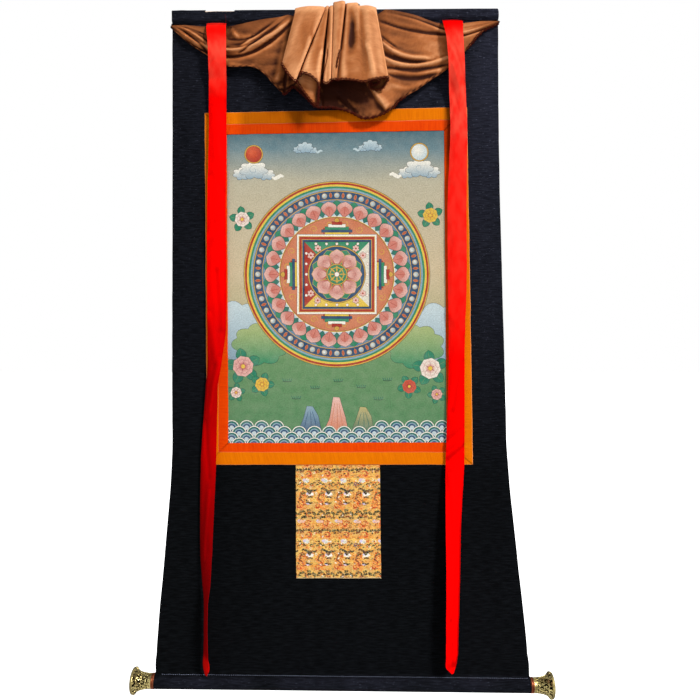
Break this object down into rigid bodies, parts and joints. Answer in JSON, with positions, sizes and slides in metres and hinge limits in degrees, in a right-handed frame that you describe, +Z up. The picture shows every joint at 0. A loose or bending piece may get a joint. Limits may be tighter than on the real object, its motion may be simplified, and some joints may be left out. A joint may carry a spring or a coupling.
{
  "type": "thangka scroll painting with rod and finials",
  "caption": "Hanging cloth scroll with a bordered painted canvas, brocade patch, gathered silk veil, ribbons and a bottom rod with finials.",
  "frame": {"origin": "middle of the panel's top edge, on the panel's middle plane", "axes": "+Z up along the hanging cloth, +X to the viewer's right, -Y out of the painted front"},
  "size_m": [0.8445, 0.0788, 1.3836],
  "materials": {
    "navy_cloth": "near-black navy slubbed cotton",
    "pale_wood": "bare pale wood",
    "yellow_silk": "orange-yellow silk",
    "vermilion_silk": "vermilion silk",
    "painted_canvas": "matt mineral paint on canvas",
    "gold_brocade": "gold brocade with coloured figures",
    "red_satin": "bright red satin ribbon",
    "brown_silk": "thin copper-brown silk",
    "rod_wood": "stained wood",
    "antique_brass": "cast antique brass with dark recesses",
    "copper": "copper-coloured ring"
  },
  "bodies": {
    "root": {"mount_panel": "navy_cloth", "top_stave": "pale_wood", "outer_border_top": "yellow_silk", "outer_border_right": "yellow_silk", "outer_border_bottom": "yellow_silk", "outer_border_left": "yellow_silk", "inner_border_top": "vermilion_silk", "inner_border_right": "vermilion_silk", "inner_border_bottom": "vermilion_silk", "inner_border_left": "vermilion_silk", "painted_canvas": "painted_canvas", "brocade_patch": "gold_brocade", "ribbon_left": "red_satin", "ribbon_right": "red_satin", "silk_veil": "brown_silk", "bottom_rod": "rod_wood", "finial_left": "antique_brass", "finial_right": "antique_brass", "finial_ring_left": "copper", "finial_ring_right": "copper"}
  },
  "joints": []
}
